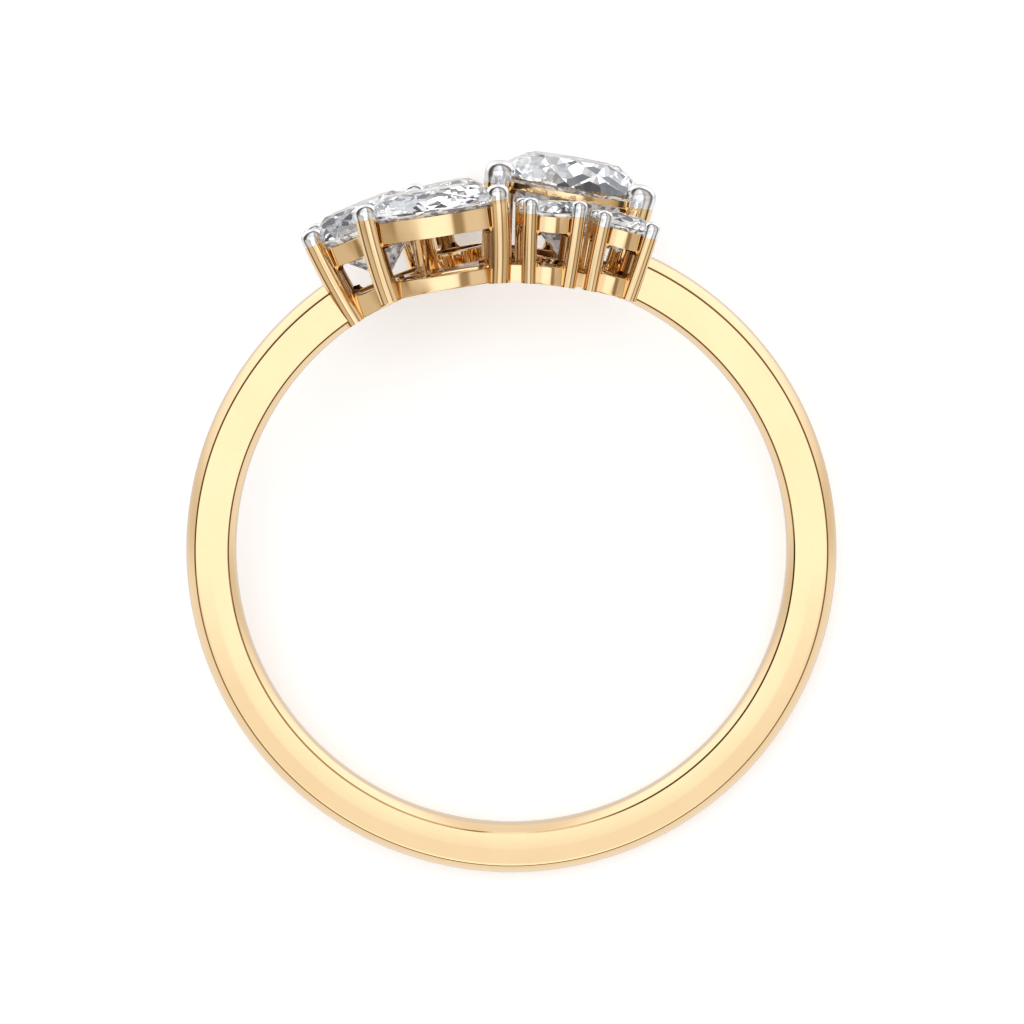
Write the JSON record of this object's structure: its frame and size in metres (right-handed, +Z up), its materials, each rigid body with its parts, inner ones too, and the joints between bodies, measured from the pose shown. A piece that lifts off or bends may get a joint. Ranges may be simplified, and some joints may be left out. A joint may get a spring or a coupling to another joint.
{
  "type": "cluster ring",
  "caption": "Slim yellow gold ring with an asymmetric cluster of claw-set round and oval white cut stones on an open gallery.",
  "frame": {"origin": "middle of the box's bottom, on the surface that the ring lies on", "axes": "+Z up from the surface, +Y from the palm side of the band to the cluster, +X across the finger to the right"},
  "size_m": [0.02, 0.0222, 0.0091],
  "materials": {
    "gold": "polished",
    "stone": "polished"
  },
  "bodies": {
    "root": {"band_and_heads": "gold", "oval_stone": "stone", "back_left_stone": "stone", "small_middle_stone": "stone", "small_right_stone": "stone", "large_round_stone": "stone", "rear_stone": "stone"}
  },
  "joints": []
}
